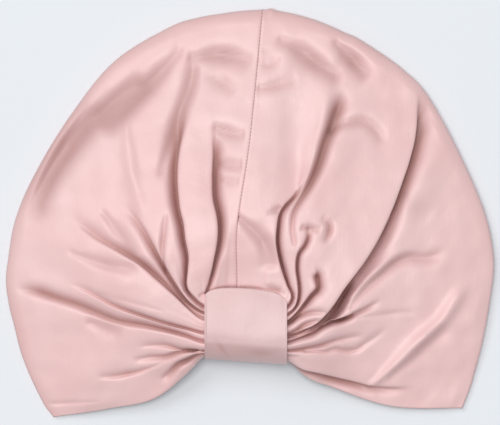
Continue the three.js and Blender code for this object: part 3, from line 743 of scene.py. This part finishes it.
def center_band():
    """The strip of satin folded round the gathers: its path carried across its width, with a bowed
    top edge, round corners, raised side rims and a few shallow wrinkles. Its wall is set in from
    the path square to it, and the whole is slanted by a shear in plan."""
    path = smooth_route(BAND_PATH, BAND_ROWS)
    tangent = np.gradient(path, axis=0)
    tangent /= np.hypot(*tangent.T)[:, None]
    side = np.sin(np.linspace(-1, 1, BAND_COLUMNS) * math.pi / 2)
    run = np.linspace(0, 1, BAND_ROWS)
    u, v = np.meshgrid(side, run, indexing="ij")
    near_top = np.maximum(0, 1 - 5 * v)
    bow = near_top * (BAND_TOP_BOW * (1 - u**2) - BAND_CORNER_DROP * np.abs(u) ** 8)
    x = u * BAND_LENGTH / 2
    y = path[None, :, 0] + bow
    z = np.broadcast_to(path[None, :, 1], u.shape).copy()
    on_face = smooth_step((0.55 - v) / 0.1)
    wrinkle = 0.8 * np.exp(-(((x + 13.5 + 0.7 * (y + 16)) / 1.8) ** 2)) * np.exp(-(((y + 15) / 4) ** 2))
    low_dent = 0.5 * np.exp(-(((x - 10) / 8) ** 2)) * np.exp(-(((y + 15.5) / 2.2) ** 2))
    sag = 0.2 * np.sin(u * 4.2 + 1.0) * np.sin(v * 21) + 0.1 * np.sin(u * 7 + v * 9)
    rim = 0.4 * np.exp(-(((np.abs(x) - BAND_LENGTH / 2 + 0.5) / 0.6) ** 2))
    z += on_face * (rim + sag - wrinkle - low_dent)
    outer = np.stack([x, y, z], axis=2)
    normal_y = np.broadcast_to(-tangent[:, 1], u.shape)
    normal_z = np.broadcast_to(tangent[:, 0], u.shape)
    inward = np.stack([np.zeros_like(u), normal_y, normal_z], axis=2)
    inner = outer + inward * BAND_WALL
    slant = math.tan(math.radians(BAND_SLANT_DEG))
    skew = np.array([[1, 0, 0], [slant, 1, 0], [0, 0, 1]])
    place = np.array([BAND_CENTER[0], BAND_CENTER[1], 0])
    thread = np.stack([(BAND_LENGTH / 2 - np.abs(x)) * MM, v * BAND_RUN * MM], axis=-1)
    # Painted shade in the band's colour: darker where it curls under towards the hem, in the wrinkle and in
    # the low dent.
    shade = on_face * (0.14 * smooth_step((-9.5 - y) / 3) + 0.2 * wrinkle + 0.3 * low_dent)
    shade = np.clip(shade, 0, 1)
    return outer @ skew.T + place, inner @ skew.T + place, thread, shade


# ---------------------------------------------------------------- materials


def satin_bumps(node, links, place):
    """The cloth's small relief, one bump over another: fine threads, streaks that run up the crown,
    and a broad crush. node makes a shader node, and place is the socket that gives the place."""

    def noise(scale, detail, stretch=None, turn=0.0):
        """A noise of the place, stretched by three scales and turned about Z where stretch is given."""
        made = node("TexNoise", Scale=scale, Detail=detail)
        if stretch is None:
            links.new(place, made.inputs["Vector"])
            return made.outputs["Fac"]
        mapping = node("Mapping")
        mapping.inputs["Scale"].default_value = stretch
        mapping.inputs["Rotation"].default_value = (0, 0, turn)
        links.new(place, mapping.inputs["Vector"])
        links.new(mapping.outputs["Vector"], made.inputs["Vector"])
        return made.outputs["Fac"]

    normal = None
    for height, strength, distance in (
        (noise(1.0, 2.0, (2200, 130, 500)), 0.10, 0.0002),
        (noise(1.0, 2.0, (1100, 75, 75), 0.1), 0.12, 0.0006),
        (noise(140.0, 3.0), 0.17, 0.0015),
    ):
        bump = node("Bump", Strength=strength, Distance=distance)
        links.new(height, bump.inputs["Height"])
        if normal is not None:
            links.new(normal, bump.inputs["Normal"])
        normal = bump.outputs["Normal"]
    return normal


def satin(name, colour, stitched):
    """Blush satin: a broad sheen over fine threads, slow changes of colour, painted shade in the folds
    that darkens the colour and dulls the sheen, and the pricks of the centre seam's stitches, at even steps
    close beside it."""
    material = bpy.data.materials.new(name)
    material.use_nodes = True
    nodes, links = material.node_tree.nodes, material.node_tree.links

    def node(kind, **values):
        made = nodes.new("ShaderNode" + kind)
        for key, value in values.items():
            if hasattr(made, key):
                setattr(made, key, value)
            else:
                made.inputs[key.replace("_", " ")].default_value = value
        return made

    def math_node(operation, a, b=None):
        made = nodes.new("ShaderNodeMath")
        made.operation = operation
        for socket, value in zip(made.inputs, (a, b)):
            if isinstance(value, (int, float)):
                socket.default_value = value
            elif value is not None:
                links.new(value, socket)
        return made.outputs[0]

    shader = nodes["Principled BSDF"]
    shader.inputs["Roughness"].default_value = 0.47
    shader.inputs["Specular Tint"].default_value = (1.0, 0.93, 0.93, 1)
    place = node("TexCoord")
    drift = node("TexNoise", Scale=16.0, Detail=5.0)
    ramp = node("ValToRGB")
    ramp.color_ramp.elements[0].position = 0.3
    ramp.color_ramp.elements[0].color = (colour[0] * 0.95, colour[1] * 0.89, colour[2] * 0.88, 1)
    ramp.color_ramp.elements[1].position = 0.7
    ramp.color_ramp.elements[1].color = (*colour, 1)
    links.new(place.outputs["Object"], drift.inputs["Vector"])
    links.new(drift.outputs["Fac"], ramp.inputs["Fac"])
    tone = ramp.outputs["Color"]
    if stitched:
        parts = node("SeparateXYZ")
        links.new(place.outputs["UV"], parts.inputs[0])
        beside = math_node("LESS_THAN", parts.outputs[0], STITCH_REACH * MM)
        step = math_node("FRACT", math_node("DIVIDE", parts.outputs[1], STITCH_PITCH * MM))
        prick = math_node("MULTIPLY", beside, math_node("LESS_THAN", step, STITCH_SHARE))
        thread_mix = node("MixRGB")
        thread_mix.inputs[2].default_value = (colour[0] * 0.45, colour[1] * 0.36, colour[2] * 0.36, 1)
        links.new(math_node("MULTIPLY", prick, 0.32), thread_mix.inputs[0])
        links.new(tone, thread_mix.inputs[1])
        tone = thread_mix.outputs[0]
    # Painted shade from the fold_shade attribute: it lowers the specular level and mixes the base colour
    # towards two shade colours.
    deep = node("Attribute", attribute_name="fold_shade")
    shine = math_node("SUBTRACT", 0.8, math_node("MULTIPLY", deep.outputs["Fac"], 0.7))
    links.new(shine, shader.inputs["Specular IOR Level"])
    doubled = math_node("MULTIPLY", deep.outputs["Fac"], 2.0)
    for amount, painted_shade_colour in (
        (math_node("MINIMUM", doubled, 1.0), (0.48, 0.27, 0.25, 1)),
        (math_node("MAXIMUM", math_node("SUBTRACT", doubled, 1.0), 0.0), (0.22, 0.095, 0.08, 1)),
    ):
        shade_mix = node("MixRGB")
        shade_mix.inputs[2].default_value = painted_shade_colour
        links.new(amount, shade_mix.inputs[0])
        links.new(tone, shade_mix.inputs[1])
        tone = shade_mix.outputs[0]
    links.new(tone, shader.inputs["Base Color"])

    bumpy = satin_bumps(node, links, place.outputs["Object"])
    links.new(bumpy, shader.inputs["Normal"])
    return material


# ---------------------------------------------------------------- build

left_points, *left_rest = crown_sheet(LEFT_GUIDES, LEFT_FOLDS, -1, 3)
right_points, *right_rest = crown_sheet(RIGHT_GUIDES, RIGHT_FOLDS, 1, 8)
band_outer, band_inner, *band_rest = center_band()

# bring the middle of the outline to the middle of the frame's box
plan_all = np.concatenate([left_points.reshape(-1, 3), right_points.reshape(-1, 3)])[:, :2]
middle = (plan_all.min(axis=0) + plan_all.max(axis=0)) / 2
frame_middle = np.array([(cad_low[k] + cad_high[k]) / 2 for k in (0, 1)]) / MM
shift_plan = np.append(frame_middle - middle, 0)

crown_satin = satin("blush_crown_satin", (0.86, 0.59, 0.585), True)
# The band's satin is the crown's satin with a darker base colour, as painted shade.
band_satin = satin("blush_band_satin", (0.75, 0.53, 0.53), False)

crown_left = crown_half("crown_left_satin", left_points + shift_plan, *left_rest, -1)
crown_right = crown_half("crown_right_satin", right_points + shift_plan, *right_rest, 1)
center_band_piece = wall_mesh(
    "center_band_satin", band_outer + shift_plan, band_inner + shift_plan, True, *band_rest
)

for piece, node, finish, slot in (
    (crown_left, "crown_left", crown_satin, "crown_satin"),
    (crown_right, "crown_right", crown_satin, "crown_satin"),
    (center_band_piece, "center_band", band_satin, "band_satin"),
):
    piece.data.materials.append(finish)
    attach(piece, "root")
    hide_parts(node)

# ---------------------------------------------------------------- floor, light and camera

FLOOR_SIDE = 30.0
VIEW_WIDTH = 0.3125
LENS = 200.0
SENSOR = 36.0
VIEW_CENTER = (0.0, 0.0003)
EDGE_LEVEL = 0.007


def pale_floor():
    """A large flat square of pale cool grey."""
    half = FLOOR_SIDE / 2
    mesh = bpy.data.meshes.new("floor")
    corners = [(-half, -half, 0), (half, -half, 0), (half, half, 0), (-half, half, 0)]
    mesh.from_pydata(corners, [], [(0, 1, 2, 3)])
    floor = bpy.data.objects.new("floor", mesh)
    bpy.context.scene.collection.objects.link(floor)
    material = bpy.data.materials.new("pale_surface")
    material.use_nodes = True
    shader = material.node_tree.nodes["Principled BSDF"]
    shader.inputs["Base Color"].default_value = (0.80, 0.835, 0.865, 1)
    shader.inputs["Roughness"].default_value = 0.9
    mesh.materials.append(material)
    return floor


def soft_light(name, place, target, size, power, colour):
    """A square area light at place, turned to its target."""
    data = bpy.data.lights.new(name, "AREA")
    data.shape = "SQUARE"
    data.size = size
    data.energy = power
    data.color = colour
    lamp = bpy.data.objects.new(name, data)
    lamp.location = place
    lamp.rotation_euler = (Vector(target) - Vector(place)).to_track_quat("-Z", "Y").to_euler()
    bpy.context.scene.collection.objects.link(lamp)


floor = pale_floor()

world = bpy.data.worlds.new("studio")
world.use_nodes = True
world.node_tree.nodes["Background"].inputs["Color"].default_value = (0.93, 0.96, 1.0, 1)
world.node_tree.nodes["Background"].inputs["Strength"].default_value = 0.40
bpy.context.scene.world = world
soft_light("overhead", (-0.22, 0.2, 2.5), (0, 0, 0), 1.1, 33, (1.0, 0.985, 0.975))

window_data = bpy.data.lights.new("window", "SUN")
window_data.energy = 0.65
window_data.angle = math.radians(26)
window_data.color = (1.0, 0.985, 0.97)
window = bpy.data.objects.new("window", window_data)
window.rotation_euler = Vector((0.62, -0.62, -0.98)).to_track_quat("-Z", "Y").to_euler()
bpy.context.scene.collection.objects.link(window)

camera_data = bpy.data.cameras.new("camera")
camera_data.lens = LENS
camera_data.sensor_width = SENSOR
camera_data.clip_end = 100
camera = bpy.data.objects.new("camera", camera_data)
camera.location = (*VIEW_CENTER, EDGE_LEVEL + VIEW_WIDTH * LENS / SENSOR)
bpy.context.scene.collection.objects.link(camera)
bpy.context.scene.camera = camera
bpy.context.scene.view_settings.view_transform = "Standard"
